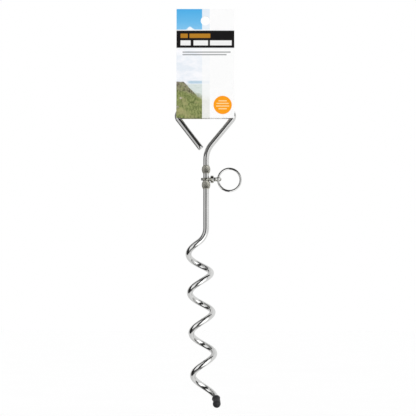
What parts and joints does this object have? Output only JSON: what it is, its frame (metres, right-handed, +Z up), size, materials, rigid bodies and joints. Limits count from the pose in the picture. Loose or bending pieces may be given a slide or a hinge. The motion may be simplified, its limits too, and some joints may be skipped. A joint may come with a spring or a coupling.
{
  "type": "tent stake",
  "caption": "Screw-in tent stake: bent steel bar with triangular grip, corkscrew coil, swivel collar with lead ring, vinyl tip cap and plain header card.",
  "frame": {"origin": "on the shank's axis at the ground line, where the straight shank ends and the coil begins", "axes": "+Z up the shank towards the grip, +X towards the swivel and lead ring, -Y the front of the header card"},
  "size_m": [0.0907, 0.0461, 0.5381],
  "materials": {
    "bright_steel": "bright zinc-nickel plate",
    "forged_steel": "dull zinc plate",
    "cap_vinyl": "soft satin vinyl",
    "card_board": "coated board, plain colour blocks"
  },
  "bodies": {
    "stake": {"grip": "bright_steel", "shank": "bright_steel", "coil": "bright_steel", "point": "bright_steel"},
    "collar": {"collar": "forged_steel"},
    "swivel": {"swivel_eye": "forged_steel"},
    "ring": {"lead_ring": "bright_steel"},
    "cap": {"tip_cap": "cap_vinyl"},
    "card": {"header_card": "card_board"}
  },
  "joints": [
    {"name": "collar_spin", "type": "hinge", "parent": "stake", "child": "collar", "pos_m": [0, 0, 0.0658], "axis": [0, 0, 1], "continuous": true},
    {"name": "swivel_spin", "type": "hinge", "parent": "collar", "child": "swivel", "pos_m": [0.0081, 0, 0.0658], "axis": [1, 0, 0], "continuous": true},
    {"name": "ring_swing", "type": "hinge", "parent": "swivel", "child": "ring", "pos_m": [0.01633, 0, 0.0658], "axis": [0, 0, 1], "range_deg": [-105, 105]},
    {"name": "cap_pull", "type": "hinge", "parent": "stake", "child": "cap", "pos_m": [-0.02696, -0.00942, -0.22513], "axis": [-0.1957, 0.5228, -0.8297], "range_deg": [0, 26]},
    {"name": "card_lift", "type": "slide", "parent": "stake", "child": "card", "axis": [0, 0, 1], "range_m": [0, 0.03]}
  ]
}
